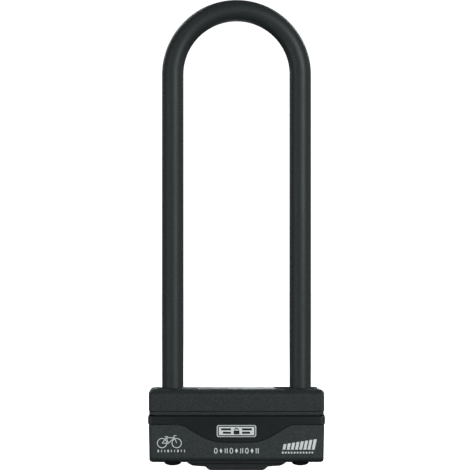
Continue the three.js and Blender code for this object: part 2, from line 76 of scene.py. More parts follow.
# ---- sizes of the fine surface ----
GAP = 0.3  # between neighbouring pieces
PAST = 1.0  # how far a cutting shape runs on outside what it cuts
WALL = 3.0  # the casings' wall
CORNER = 3.0  # the casings' corners in plan
INNER_CORNER = 1.2
CEILING = 62.1  # the inside of the upper casing's top
GROW = 0.1  # how far the casings and the band reach past the frame's ends
CROWN_RISE = 0.3  # how far the upper casing's top lies over the frame's
CROWN_END = 3.9  # rounding of the top along its ends
CROWN_RUN, CROWN_DROP = 9.5, 5.8  # and along its long edges, where it's an ellipse
BASE_DROP = 0.2  # how far the lower casing's floor lies under the frame's
BASE_END = 2.6  # rounding of the bottom along its ends
BASE_RUN, BASE_RISE = 6.8, 4.8  # and along its long edges
BASE_TAPER = 0.5  # how far each end draws in towards the floor
CASING_EDGE = 0.3  # the lower casing's shoulder
RIM_LOW, RIM_HIGH, RIM_INSET = UPPER_LOW.z + 0.2, UPPER_LOW.z + 2.55, 0.4
RIM_FOOT, RIM_EDGE = 0.2, 0.1  # the chamfers under and over the rim
GROOVE_DEPTH, GROOVE_WIDTH, GROOVE_LIP = 1.3, 0.55, 0.12
WALL_FOOT = RIM_HIGH + 1.6  # a ring on the plain wall, a little above the groove
BAND_WALL = 1.8
BAND_DROP = 0.4  # the band's top lies this much lower than the frame's
BAND_CORNER, BAND_INNER_CORNER = 3.4, 2.2
BAND_TOP_EDGE, BAND_FOOT_EDGE = 0.5, 0.35
SPIGOT = (68.2, 16.6)  # half the size of the lower casing's collar, which stands inside the band
SPIGOT_CORNER = 2.0
APRON = ((46.0, 37.1), (38.5, 37.1), (27.0, 22.9), (10.0, 22.9))  # the wave's Bezier curve in x and z
WAVE_STEPS = 64  # points along each long edge that follows the wave
SLEEVE_BORE_R, SLEEVE_LIP = 8.1, 0.25
BAR_CHAMFER = 1.5
NOTCH = (6.0, 43.0, 54.0)  # depth, low and high
NOTCH_CORNER = 0.6
SMOOTH_ANGLE = math.radians(33)
ROUND = 72  # sides of a turned piece


# ---- meshes ----
def loft(rings, closed=False):
    """Quads between successive rings of equal length. closed joins the last ring to the first."""
    bm = bmesh.new()
    rows = [[bm.verts.new(point) for point in points] for points in rings]
    pairs = list(zip(rows, rows[1:] + rows[:1])) if closed else list(zip(rows, rows[1:]))
    for one, two in pairs:
        for i in range(len(one)):
            j = (i + 1) % len(one)
            bm.faces.new((one[i], one[j], two[j], two[i]))
    if not closed:
        bm.faces.new(list(reversed(rows[0])))
        bm.faces.new(rows[-1])
    bmesh.ops.recalc_face_normals(bm, faces=bm.faces)
    return bm


def ring(half_x, half_y, z, corner=CORNER, steps=8, run=1, centre=(0.0, 0.0)):
    """A rounded rectangle in plan. z is a height or a function of x, and run splits the long edges."""
    height = z if callable(z) else lambda x: z
    corners = [(1, -1, -90), (1, 1, 0), (-1, 1, 90), (-1, -1, 180)]
    points = []
    for sign_x, sign_y, start in corners:
        cx, cy = sign_x * (half_x - corner), sign_y * (half_y - corner)
        for i in range(steps + 1):
            angle = math.radians(start + 90 * i / steps)
            points.append((cx + corner * math.cos(angle), cy + corner * math.sin(angle)))
        if sign_x == sign_y:
            end = -sign_x * (half_x - corner)
            x0, y0 = points[-1]
            points += [(x0 + (end - x0) * i / run, y0) for i in range(1, run)]
    return [Vector((x + centre[0], y + centre[1], height(x))) for x, y in points]


def circle(radius, z, x=0.0, y=0.0, sides=ROUND):
    """A level ring of points."""
    angles = [2 * math.pi * i / sides for i in range(sides)]
    return [Vector((x + radius * math.cos(a), y + radius * math.sin(a), z)) for a in angles]


def turned(profile, x=0.0, y=0.0, sides=ROUND):
    """A turned piece about an upright axis, from [radius, height] pairs."""
    return loft([circle(r, z, x, y, sides) for r, z in profile])


def piece_from(bm, name):
    """A new object with the mesh, linked to the scene."""
    mesh = bpy.data.meshes.new(name)
    bm.to_mesh(mesh)
    bm.free()
    piece = bpy.data.objects.new(name, mesh)
    bpy.context.scene.collection.objects.link(piece)
    return piece


def cut(piece, *cutters, operation="DIFFERENCE"):
    """Takes each cutter's solid out of the piece, or joins it on."""
    for cutter in cutters:
        tool = piece_from(cutter, "tool")
        boolean = piece.modifiers.new("cut", "BOOLEAN")
        boolean.object = tool
        boolean.operation = operation
        boolean.solver = "EXACT"
        result = piece.evaluated_get(bpy.context.evaluated_depsgraph_get())
        old, piece.data = piece.data, bpy.data.meshes.new_from_object(result)
        piece.modifiers.remove(boolean)
        bpy.data.meshes.remove(old)
        bpy.data.meshes.remove(tool.data)
    return piece


def soften(mesh):
    """Smooth faces with sharp edges kept where two faces meet at a wide angle."""
    bm = bmesh.new()
    bm.from_mesh(mesh)
    bmesh.ops.remove_doubles(bm, verts=bm.verts, dist=1e-4)
    for face in bm.faces:
        face.smooth = True
    for edge in bm.edges:
        edge.smooth = len(edge.link_faces) == 2 and edge.calc_face_angle(0) < SMOOTH_ANGLE
    bm.to_mesh(mesh)
    bm.free()


def place(piece, body, slot, material, replaces=()):
    """Gives a finished piece its shading, its size in metres, its body and its finish."""
    soften(piece.data)
    piece.data.transform(Matrix.Scale(MM, 4))
    piece.data.materials.clear()
    piece.data.materials.append(material)
    normals = piece.modifiers.new("normals", "WEIGHTED_NORMAL")
    normals.keep_sharp = True
    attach(piece, body)
    if replaces:
        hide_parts(*replaces)
    return piece


# ---- materials ----
def add(tree, kind, inputs=None, **settings):
    """A shader node. An input is a constant or another node's output."""
    node = tree.nodes.new(kind)
    for key, value in settings.items():
        setattr(node, key, value)
    for key, value in (inputs or {}).items():
        if isinstance(value, bpy.types.NodeSocket):
            tree.links.new(value, node.inputs[key])
        else:
            node.inputs[key].default_value = value
    return node


def new_material(name, **constants):
    """A material with one shader, and constants on the shader's sockets."""
    material = bpy.data.materials.new(name)
    material.use_nodes = True
    tree = material.node_tree
    tree.nodes.clear()
    shader = add(tree, "ShaderNodeBsdfPrincipled", constants)
    output = add(tree, "ShaderNodeOutputMaterial")
    tree.links.new(shader.outputs[0], output.inputs[0])
    return material, tree, shader


def noise(tree, scale, detail=3.0, roughness=0.55, stretch=(1, 1, 1)):
    """Noise in the object's own space. scale is per metre."""
    position = add(tree, "ShaderNodeTexCoord").outputs["Object"]
    mapping = add(tree, "ShaderNodeMapping", {"Vector": position, "Scale": stretch})
    settings = {"Vector": mapping.outputs[0], "Scale": scale, "Detail": detail, "Roughness": roughness}
    return add(tree, "ShaderNodeTexNoise", settings).outputs["Fac"]


def remap(tree, value, low, high, from_low=0.3, from_high=0.7):
    """Carries a value from one range to another, clamped. Noise lies mostly between 0.3 and 0.7."""
    settings = {"Value": value, "From Min": from_low, "From Max": from_high, "To Min": low, "To Max": high}
    return add(tree, "ShaderNodeMapRange", settings).outputs[0]


def mix_colour(tree, factor, one, two):
    """A mix of two constant colours."""
    node = add(tree, "ShaderNodeMix", data_type="RGBA")
    tree.links.new(factor, node.inputs[0])
    node.inputs[6].default_value = (*one, 1)
    node.inputs[7].default_value = (*two, 1)
    return node.outputs[2]


def bump(tree, height, depth_mm):
    """A normal that follows a height of this depth."""
    return add(tree, "ShaderNodeBump", {"Height": height, "Distance": depth_mm * MM}).outputs[0]


MOTTLE_SCALE, SMEAR_SCALE = 800, 35  # patches of tone near 1 mm across, and of handling near 30 mm


def plastic(name, colour, worn, roughness, grain_mm, grain_depth, specular=0.3):
    """Moulded plastic: a fine spark-eroded grain, mottled tone, and roughness that varies with handling."""
    material, tree, shader = new_material(name, **{"Specular IOR Level": specular})
    tone = remap(tree, noise(tree, MOTTLE_SCALE, detail=3, roughness=0.7), -0.5, 1.5, 0.35, 0.65)
    tree.links.new(mix_colour(tree, tone, colour, worn), shader.inputs["Base Color"])
    smear = noise(tree, SMEAR_SCALE, detail=5, stretch=(1, 1, 0.4))
    tree.links.new(remap(tree, smear, roughness - 0.05, roughness + 0.06), shader.inputs["Roughness"])
    grain = noise(tree, 1 / (grain_mm * MM), detail=2)
    tree.links.new(bump(tree, grain, grain_depth), shader.inputs["Normal"])
    return material


BAND_PALE_ADD = (0.0045, 0.005, 0.005, 1)  # what full paling adds to the band's colour: a painted sheen towards the ends, and paleness low on the wave
BAND_PALE_X = (0.02, 0.07)  # in metres from the lock's middle, from no paling to full
BAND_PALE_Z = (0.024, 0.038)  # in metres from the floor, from the wave's foot up


def pale_band_ends_and_wave_foot(material):
    """The band is painted paler towards its ends, a painted sheen for the reflection there, and a little paler
    low on its wave.
    """
    tree = material.node_tree
    shader = next(node for node in tree.nodes if node.type == "BSDF_PRINCIPLED")
    tone = shader.inputs["Base Color"].links[0].from_socket
    parts = add(tree, "ShaderNodeSeparateXYZ", {"Vector": add(tree, "ShaderNodeTexCoord").outputs["Object"]})
    far = add(tree, "ShaderNodeMath", {0: parts.outputs["X"]}, operation="ABSOLUTE").outputs[0]
    ends = remap(tree, far, 0.0, 1.0, *BAND_PALE_X)
    low = remap(tree, parts.outputs["Z"], 0.6, 0.0, *BAND_PALE_Z)
    pale = add(tree, "ShaderNodeMath", {0: ends, 1: low}, operation="MAXIMUM").outputs[0]
    lift = add(tree, "ShaderNodeMix", data_type="RGBA", blend_type="ADD")
    tree.links.new(pale, lift.inputs[0])
    tree.links.new(tone, lift.inputs[6])
    lift.inputs[7].default_value = BAND_PALE_ADD
    tree.links.new(lift.outputs[2], shader.inputs["Base Color"])


def metal(name, colour, tint, roughness, stretch=(1, 1, 1), line_mm=0.6, depth=0.01):
    """Machined metal: fine tool lines, stained a little, with a roughness that follows the lines."""
    material, tree, shader = new_material(name, Metallic=1.0)
    stain = remap(tree, noise(tree, 90, detail=5), 0, 1)
    tree.links.new(mix_colour(tree, stain, colour, tint), shader.inputs["Base Color"])
    lines = noise(tree, 1 / (line_mm * MM), detail=3, stretch=stretch)
    tree.links.new(remap(tree, lines, roughness - 0.08, roughness + 0.1), shader.inputs["Roughness"])
    tree.links.new(bump(tree, lines, depth), shader.inputs["Normal"])
    return material


def ink(name, colour):
    """Screen-printed ink, a little uneven where it sits on the grain."""
    material, tree, shader = new_material(name, **{"Specular IOR Level": 0.3})
    patch = remap(tree, noise(tree, 900, detail=3), 0, 1, 0.35, 0.5)
    tree.links.new(mix_colour(tree, patch, [0.82 * c for c in colour], colour), shader.inputs["Base Color"])
    tree.links.new(remap(tree, noise(tree, 1500), 0.5, 0.7), shader.inputs["Roughness"])
    return material


MATERIALS = {
    "sleeve_vinyl": plastic(
        "sleeve vinyl", (0.021, 0.0242, 0.0247), (0.026, 0.0298, 0.0303), 0.48, 1.4, 0.05
    ),
    "casing_plastic": plastic(
        "casing nylon", (0.0161, 0.0192, 0.0197), (0.0296, 0.0343, 0.035), 0.55, 0.7, 0.11
    ),
    "band_plastic": plastic(
        "band plastic", (0.0085, 0.0103, 0.0106), (0.0118, 0.0136, 0.014), 0.32, 2.0, 0.008
    ),
    "trim_plastic": plastic(
        "trim plastic", (0.0115, 0.0128, 0.0133), (0.0165, 0.018, 0.0185), 0.58, 0.6, 0.09
    ),
    "buffer_rubber": plastic("buffer rubber", (0.008, 0.008, 0.008), (0.014, 0.014, 0.014), 0.8, 0.7, 0.03),
    "bare_steel": metal("bare steel", (0.50, 0.51, 0.52), (0.38, 0.385, 0.39), 0.32, stretch=(1, 1, 6)),
    "hardened_steel": metal("hardened steel", (0.23, 0.24, 0.26), (0.15, 0.145, 0.15), 0.42, line_mm=0.9),
    "cylinder_brass": metal("cylinder brass", (0.63, 0.45, 0.18), (0.48, 0.33, 0.13), 0.3, stretch=(1, 1, 9)),
}
# Painted sheen towards the band's ends, and paler low on its wave.
pale_band_ends_and_wave_foot(MATERIALS["band_plastic"])
# A lighter copy of the casing nylon: painted light for the lower casing, which shows brighter than the upper
# one though it is the same finish.
LOWER_CASING_PAINTED_LIGHTER = plastic(
    "lower casing nylon painted lighter", (0.0217, 0.0254, 0.0258), (0.0387, 0.044, 0.0445), 0.55, 0.7, 0.11
)
# Near-black with little specular: painted shade for the collar seen down the gap between band and casing.
COLLAR_PAINTED_SHADE = plastic(
    "collar painted shade", (0.002, 0.002, 0.002), (0.004, 0.004, 0.004), 0.6, 0.6, 0.06, specular=0.1
)
PRINT_INK = ink("print ink", (0.78, 0.79, 0.78))
BADGE_INK = ink("badge dark ink", (0.012, 0.014, 0.015))


# ---- shackle ----
def shackle_path(foot_z, bend_steps=96):
    """Stations along the shackle, as (centre, direction across the bend) pairs, from the left foot round."""
    stations = [((-LEG_X, foot_z), math.pi)]
    for i in range(bend_steps + 1):
        angle = math.pi * (1 - i / bend_steps)
        stations.append(((LEG_X * math.cos(angle), BEND_Z + LEG_X * math.sin(angle)), angle))
    stations.append(((LEG_X, foot_z), 0.0))
    return stations


def tube_ring(station, radius):
    """A ring of points round the shackle's path."""
    (x, z), angle = station
    across = Vector((math.cos(angle), 0, math.sin(angle)))
    side = Vector((0, 1, 0))
    turns = [2 * math.pi * i / ROUND for i in range(ROUND)]
    return [Vector((x, 0, z)) + radius * (math.cos(t) * across + math.sin(t) * side) for t in turns]


def make_sleeve():
    """A tube along the whole shackle, with a softened lip at each foot."""
    path = shackle_path(SLEEVE_LOW.z + SLEEVE_LIP)
    outer = [tube_ring(station, SLEEVE_R) for station in path]
    inner = [tube_ring(station, SLEEVE_BORE_R) for station in path]
    feet = shackle_path(SLEEVE_LOW.z)
    left_tip, right_tip = [tube_ring(feet[i], SLEEVE_R - SLEEVE_LIP) for i in (0, -1)]
    left_bore, right_bore = [tube_ring(feet[i], SLEEVE_BORE_R) for i in (0, -1)]
    rings = [left_bore, left_tip] + outer + [right_tip, right_bore] + list(reversed(inner))
    return piece_from(loft(rings, closed=True), "vinyl_sleeve")


def make_bar():
    """The round bar, with a chamfer and a bolt's notch on the inner side of each foot."""
    tip = shackle_path(BAR_LOW.z)
    rings = [tube_ring(tip[0], BAR_R - BAR_CHAMFER)]
    rings += [tube_ring(station, BAR_R) for station in shackle_path(BAR_LOW.z + BAR_CHAMFER)]
    rings += [tube_ring(tip[-1], BAR_R - BAR_CHAMFER)]
    bar = piece_from(loft(rings), "steel_bar")
    depth, low, high = NOTCH
    half_x = (depth + PAST) / 2
    middle = LEG_X - BAR_R - PAST + half_x
    for side in (-1, 1):
        at = (side * middle, 0)
        notch = [ring(half_x, BAR_R + PAST, z, NOTCH_CORNER, steps=3, centre=at) for z in (low, high)]
        cut(bar, loft(notch))
    return bar


# ---- casings ----
def rounding(z, edge_z, radius, run=None):
    """How far a face has turned in at height z, where a rounding ends at edge_z. run makes it an ellipse."""
    rise = (radius - abs(edge_z - z)) / radius
    return 0.0 if rise <= 0 else (run or radius) * (1 - math.sqrt(max(1 - rise**2, 0.0)))


def on_curve(curve, t):
    """The point of a Bezier curve at t, from its four control points."""
    weights = ((1 - t) ** 3, 3 * t * (1 - t) ** 2, 3 * t * t * (1 - t), t**3)
    return tuple(sum(w * point[k] for w, point in zip(weights, curve)) for k in (0, 1))


def bezier(*curve, steps=14):
    """Points along the curve, with its first point left out."""
    return [on_curve(curve, i / steps) for i in range(1, steps + 1)]


def apron_foot(x):
    """The height of the apron's lower edge at x, found by halving."""
    distance = abs(x)
    if distance >= APRON[0][0]:
        return APRON[0][1]
    if distance <= APRON[3][0]:
        return APRON[3][1]
    low, high = 0.0, 1.0
    for _ in range(30):
        middle = (low + high) / 2
        if on_curve(APRON, middle)[0] > distance:
            low = middle
        else:
            high = middle
    return on_curve(APRON, low)[1]


def make_upper_casing():
    """A cap with a set-back rim, a groove above it, a rounded top and a seat round each leg."""
    half_x, half_y, top = UPPER_HIGH.x + GROW, UPPER_HIGH.y, UPPER_HIGH.z + CROWN_RISE
    rim_x, rim_y = half_x - RIM_INSET, half_y - RIM_INSET
    groove_high = RIM_HIGH + GROOVE_WIDTH
    rings = [ring(half_x - WALL, half_y - WALL, z, INNER_CORNER) for z in (CEILING, RIM_LOW)]
    rings += [ring(rim_x - RIM_FOOT, rim_y - RIM_FOOT, RIM_LOW), ring(rim_x, rim_y, RIM_LOW + RIM_FOOT)]
    rings += [ring(rim_x, rim_y, RIM_HIGH - RIM_EDGE), ring(rim_x - RIM_EDGE, rim_y - RIM_EDGE, RIM_HIGH)]
    rings += [ring(rim_x - GROOVE_DEPTH, rim_y - GROOVE_DEPTH, z) for z in (RIM_HIGH, groove_high)]
    rings.append(ring(half_x - GROOVE_LIP, half_y - GROOVE_LIP, groove_high))
    rings += [ring(half_x, half_y, z) for z in (groove_high + GROOVE_LIP, WALL_FOOT)]
    for angle in range(0, 91, 6):
        z = top - CROWN_DROP * (1 - math.sin(math.radians(angle)))
        end, side = rounding(z, top, CROWN_END), rounding(z, top, CROWN_DROP, CROWN_RUN)
        rings.append(ring(half_x - end, half_y - side, z))
    casing = piece_from(loft(rings), "upper_shell")
    for side in (-1, 1):
        seat = [bush_plate(side, z, GAP) for z in (BUSH_SEAT - GAP, top + PAST)]
        shank = [(BUSH_SHANK + GAP, z) for z in (CEILING - PAST, top + PAST)]
        cut(casing, turned(shank, side * LEG_X), loft(seat))
    return casing


def make_lower_casing():
    """A cup whose shoulder follows the band's wave, with a collar inside the band and a rounded floor."""
    half_x, half_y, low = LOWER_HIGH.x + GROW, LOWER_HIGH.y, LOWER_LOW.z - BASE_DROP
    floor = low + WALL
    shoulder = lambda x: apron_foot(x) - GAP
    below = lambda x: shoulder(x) - CASING_EDGE
    fine = {"run": WAVE_STEPS}
    rings = [ring(half_x - WALL, half_y - WALL, z, INNER_CORNER, **fine) for z in (floor, LOWER_HIGH.z)]
    rings += [ring(*SPIGOT, z, SPIGOT_CORNER, **fine) for z in (LOWER_HIGH.z, shoulder)]
    rings.append(ring(half_x - CASING_EDGE, half_y - CASING_EDGE, shoulder, **fine))
    rings.append(ring(half_x, half_y, below, **fine))
    for angle in range(0, 91, 9):
        z = low + BASE_RISE * (1 - math.sin(math.radians(angle)))
        end, side = rounding(z, low, BASE_END) + BASE_TAPER, rounding(z, low, BASE_RISE, BASE_RUN)
        rings.append(ring(half_x - end, half_y - side, z, **fine))
    casing = piece_from(loft(rings), "lower_shell")
    seat_ends = (low - PAST, LIP_HIGH + LIP_GAP)
    seat = [ring(GUARD_END[0] + LIP_GAP, half_y + PAST, z, GAP, 2) for z in seat_ends]
    through = (low - PAST, floor + PAST)
    cut(casing, turned([(CYLINDER_HIGH.x + GAP, z) for z in through]), loft(seat))
    for side in (-1, 1):
        cut(casing, turned([(PLUG_SHANK + GAP, z) for z in through], side * LEG_X))
    return casing


def make_band():
    """A smooth collar whose foot drops in a wave down the front and the back."""
    half_x, half_y, top = BAND_HIGH.x + GROW, BAND_HIGH.y, BAND_HIGH.z - BAND_DROP
    fine = {"run": WAVE_STEPS}
    rings = [
        ring(half_x - BAND_WALL, half_y - BAND_WALL, z, BAND_INNER_CORNER, **fine) for z in (apron_foot, top)
    ]
    for angle in (90, 70, 50, 30, 10, 0):
        a = math.radians(angle)
        inset = BAND_TOP_EDGE * (1 - math.cos(a))
        z = top - BAND_TOP_EDGE * (1 - math.sin(a))
        rings.append(ring(half_x - inset, half_y - inset, z, BAND_CORNER, **fine))
    for inset, rise in ((0.0, 1.0), (0.3, 0.3), (1.0, 0.0)):
        low = lambda x: apron_foot(x) + rise * BAND_FOOT_EDGE
        inset *= BAND_FOOT_EDGE
        rings.append(ring(half_x - inset, half_y - inset, low, BAND_CORNER, **fine))
    return piece_from(loft(rings, closed=True), "trim_band_skin")


# ---- small parts on the outside ----
BUSH_SEAT = 63.2  # the underside of the bush's plate
BUSH_BORE, BUSH_SHANK = 8.95, 10.2
BUSH_CORNER, BUSH_EDGE = 3.0, 0.5
PLUG_SHANK = 4.7


def bush_plate(side, z, grow=0.0):
    """One outline of the oblong plate about a leg."""
    low, high = BUSH_LOW.x - grow, BUSH_HIGH.x + grow
    at = (side * (high + low) / 2, 0)
    return ring((high - low) / 2, BUSH_HIGH.y + grow, z, BUSH_CORNER + grow, centre=at)


def make_bush(side):
    """An oblong plate with a flared mouth round the leg, on a round shank."""
    top = BUSH_HIGH.z
    angles = [math.radians(a) for a in range(0, 91, 18)]
    rounded = [(top - BUSH_EDGE * (1 - math.sin(a)), BUSH_EDGE * (math.cos(a) - 1)) for a in angles]
    rings = [bush_plate(side, BUSH_SEAT)] + [bush_plate(side, z, grow) for z, grow in rounded]
    bush = piece_from(loft(rings), "left_bush_fine" if side < 0 else "right_bush_fine")
    x = side * LEG_X
    cut(bush, turned([(BUSH_SHANK, z) for z in (BUSH_LOW.z, BUSH_SEAT + BUSH_EDGE)], x), operation="UNION")
    mouth = [(0.0, BUSH_LOW.z - PAST), (0.0, top - 0.6), (0.15, top - 0.25), (0.5, top), (1.5, top + 1)]
    return cut(bush, turned([(BUSH_BORE + flare, z) for flare, z in mouth], x))


def make_plug(side):
    """A domed stud on a shank."""
    low, radius, edge = PLUG_LOW.z, PLUG_HIGH.x - LEG_X, 0.2
    neck = LOWER_LOW.z - GAP
    rim = neck - 1.1
    angles = [math.radians(a) for a in (3, 12, 22, 32, 42, 52, 62, 72, 82, 90)]
    dome = [(radius * math.sin(a), rim - (rim - low) * math.cos(a)) for a in angles]
    profile = dome + [(radius, neck - edge), (radius - edge, neck)]
    profile += [(PLUG_SHANK, neck), (PLUG_SHANK, PLUG_HIGH.z)]
    return piece_from(turned(profile, side * LEG_X), "left_plug_fine" if side < 0 else "right_plug_fine")


GUARD_END, GUARD_STEP, GUARD_WAIST, GUARD_FOOT = (39.1, 6.3), (33.0, 3.5), (25.3, 3.0), (19.8, 0.0)
GUARD_EDGE = 1.4
GUARD_Y = 13.5  # half the guard's depth below its lip
LIP_Y, LIP_LOW, LIP_HIGH = GUARD_HIGH.y, 6.4, GUARD_HIGH.z + 0.2  # the lip is let into the casing's floor
LIP_GAP, LIP_ROUND, LIP_FOOT = 0.12, 0.2, 0.1
TRACK_START, TRACK_END, TRACK_HIGH = -7.6, 45.0, 3.0  # the cover's T slot, open at the guard's right end
TRACK_MOUTH_Y, TRACK_STEP_Y, TRACK_STEP = 6.5, 8.5, 1.2
KEYWAY_R = 6.2
CYLINDER_SEAT = 4.9
SCREW_X, SCREW_HEAD_R, SCREW_HEAD_HIGH, SCREW_R = 30.0, 3.1, 5.2, 1.8
STOP_X, STOP_R, STOP_LOW, STOP_HIGH = 21.9, 1.3, 2.0, 5.0


def guard_outline():
    """The guard's lower side from the front, as [x, z] from the middle to the right end."""
    points = [GUARD_FOOT] + bezier(GUARD_FOOT, (22.6, 0.0), (24.2, 3.0), GUARD_WAIST)
    points += [GUARD_STEP] + bezier(GUARD_STEP, (35.4, 3.5), (38.1, 5.2), GUARD_END)
    return points


def slot_block(half_y, low):
    """A cutting block for the cover's slot."""
    half_x, at = (TRACK_END - TRACK_START) / 2, ((TRACK_START + TRACK_END) / 2, 0)
    return loft([ring(half_x, half_y, z, GAP, 3, centre=at) for z in (low, TRACK_HIGH)])


def make_guard():
    """A boss with a stepped outline and rounded long edges, under a deeper lip."""
    right = guard_outline()
    outline = [(-x, z) for x, z in reversed(right)] + right
    turns = [math.radians(a) for a in range(0, 91, 15)]
    sections = []
    for x, low in outline:
        edge = min(GUARD_EDGE, (LIP_LOW - low) / 2)
        front = [(LIP_Y - LIP_ROUND, LIP_HIGH), (LIP_Y, LIP_HIGH - LIP_ROUND), (LIP_Y, LIP_LOW + LIP_FOOT)]
        front += [(LIP_Y - LIP_FOOT, LIP_LOW), (GUARD_Y, LIP_LOW)]
        front += [(GUARD_Y - edge * (1 - math.cos(a)), low + edge * (1 - math.sin(a))) for a in turns]
        section = front + [(-y, z) for y, z in reversed(front)]
        sections.append([Vector((x, y, z)) for y, z in section])
    guard = piece_from(loft(sections), "keyway_guard_fine")
    cut(guard, slot_block(TRACK_MOUTH_Y, -PAST), slot_block(TRACK_STEP_Y, TRACK_STEP))
    high = LIP_HIGH + PAST
    keyway = [(KEYWAY_R, z) for z in (-PAST, high)]
    cylinder = [(CYLINDER_HIGH.x + GAP, z) for z in (CYLINDER_SEAT, high)]
    cut(guard, turned(keyway), turned(cylinder))
    for side in (-1, 1):
        head = [(SCREW_HEAD_R, z) for z in (-PAST, SCREW_HEAD_HIGH)]
        shank = [(SCREW_R, z) for z in (-PAST, high)]
        cut(guard, turned(head, side * SCREW_X), turned(shank, side * SCREW_X))
    return cut(guard, turned([(STOP_R, z) for z in (STOP_LOW, STOP_HIGH)], STOP_X, sides=24))


def make_keyway_cover():
    """The sliding cover: a flange in the slot, and below it a pad with five grooves for the thumb."""
    low, high = COVER_LOW, COVER_HIGH
    middle = (low.x + high.x) / 2
    at = {"corner": 1.0, "centre": (middle, 0)}
    half_x, half_y, edge = (high.x - low.x) / 2, high.y, 0.3
    pad_y, step = half_y - 2.0, low.z + 1.2
    pad = [ring(half_x - edge, pad_y - edge, low.z, **at), ring(half_x, pad_y, low.z + edge, **at)]
    pad.append(ring(half_x, pad_y, step, **at))
    flange = [ring(half_x, half_y, z, **at) for z in (step, high.z)]
    cover = piece_from(loft(pad + flange), "keyway_cover_fine")
    pitch, half_width, depth, margin = 2.0, 0.55, 0.6, 1.4
    for i in range(-2, 3):
        x = middle + pitch * i
        ends = (low.z - PAST, low.z + depth)
        groove = [ring(half_width, pad_y - margin, z, 0.5, 4, centre=(x, 0)) for z in ends]
        cut(cover, loft(groove))
    return cover


# ---- prints ----
PRINT_THICK = 0.04


class Print:
    """Flat shapes of ink that stand a hair off an upright face at the front. Points are [x, z]."""

    def __init__(self, name, face_y, lift=0.0):
        self.name = name
        self.back = face_y + 0.01 - lift
        self.front = face_y - PRINT_THICK - lift
        self.bm = bmesh.new()

    def wall(self, quad):
        """A slab over a convex outline."""
        backs = [self.bm.verts.new((x, self.back, z)) for x, z in quad]
        fronts = [self.bm.verts.new((x, self.front, z)) for x, z in quad]
        count = len(quad)
        self.bm.faces.new(fronts)
        self.bm.faces.new(list(reversed(backs)))
        for i in range(count):
            j = (i + 1) % count
            self.bm.faces.new((fronts[i], backs[i], backs[j], fronts[j]))

    def stroke(self, points, width, closed=False):
        """A line of even width through the points."""
        count = len(points)
        normals = []
        for i in range(count):
            before = points[(i - 1) % count] if closed or i > 0 else points[i]
            after = points[(i + 1) % count] if closed or i < count - 1 else points[i]
            along = Vector((after[0] - before[0], after[1] - before[1])).normalized()
            normals.append(Vector((-along.y, along.x)) * (width / 2))
        left = [(p[0] + n.x, p[1] + n.y) for p, n in zip(points, normals)]
        right = [(p[0] - n.x, p[1] - n.y) for p, n in zip(points, normals)]
        rows = []
        for x, z in [pair for both in zip(left, right) for pair in both]:
            rows.append((self.bm.verts.new((x, self.front, z)), self.bm.verts.new((x, self.back, z))))
        steps = count if closed else count - 1
        for i in range(steps):
            l0, r0 = rows[2 * i], rows[2 * i + 1]
            l1, r1 = rows[(2 * i + 2) % (2 * count)], rows[(2 * i + 3) % (2 * count)]
            self.bm.faces.new((l0[0], l1[0], r1[0], r0[0]))
            self.bm.faces.new((r0[1], r1[1], l1[1], l0[1]))
            self.bm.faces.new((l0[1], l1[1], l1[0], l0[0]))
            self.bm.faces.new((r0[0], r1[0], r1[1], r0[1]))
        if not closed:
            for one, two in ((rows[0], rows[1]), (rows[-2], rows[-1])):
                self.bm.faces.new((one[0], two[0], two[1], one[1]))

    def done(self):
        """Ends the drawing as one object."""
        bmesh.ops.recalc_face_normals(self.bm, faces=self.bm.faces)
        return piece_from(self.bm, self.name)


def round_points(x, z, radius, start=0, end=360, steps=32):
    """Points along an arc in degrees. A whole turn doesn't repeat its first point."""
    last = steps if (end - start) % 360 else steps - 1
    angles = [math.radians(start + (end - start) * i / steps) for i in range(last + 1)]
    return [(x + radius * math.cos(a), z + radius * math.sin(a)) for a in angles]


def rounded_outline(half_x, half_z, radius, z):
    """A rounded rectangle on an upright face, about the lock's middle."""
    corners = [(1, 1, 0), (-1, 1, 90), (-1, -1, 180), (1, -1, 270)]
    points = []
    for sign_x, sign_z, start in corners:
        centre = (sign_x * (half_x - radius), z + sign_z * (half_z - radius))
        points += round_points(*centre, radius, start, start + 90, 6)
    return points


FACE_Y = -LOWER_HIGH.y
APRON_Y = -BAND_HIGH.y
BADGE_Z = 31.8
BADGE = (15.6, 4.7, 1.6)  # half width, half height and corner
BADGE_FRAME = (14.5, 3.75, 1.0)  # the same, of the line round its signs


def make_badge():
    """A rounded white plate on the apron."""
    plate = Print("badge_plate", APRON_Y)
    plate.wall(rounded_outline(*BADGE, BADGE_Z))
    return plate.done()


def make_badge_signs():
    """A padlock between level bars, in dark ink on the badge."""
    signs = Print("badge_signs", APRON_Y, lift=PRINT_THICK)
    frame_line, bow_line, bar_line = 0.9, 0.8, 1.6
    signs.stroke(rounded_outline(*BADGE_FRAME, BADGE_Z), frame_line, closed=True)
    half_x, low, high, bow_r = 2.3, BADGE_Z - 2.6, BADGE_Z + 0.4, 1.4
    signs.wall([(-half_x, low), (half_x, low), (half_x, high), (-half_x, high)])
    signs.stroke(round_points(0, high + 0.3, bow_r, 0, 180, 16), bow_line)
    near, lower_end, upper_end, half_pitch = 4.4, 10.8, 12.2, 1.35
    for side in (-1, 1):
        for z, far in ((BADGE_Z - half_pitch, lower_end), (BADGE_Z + half_pitch, upper_end)):
            signs.stroke([(side * near, z), (side * far, z)], bar_line)
    return signs.done()


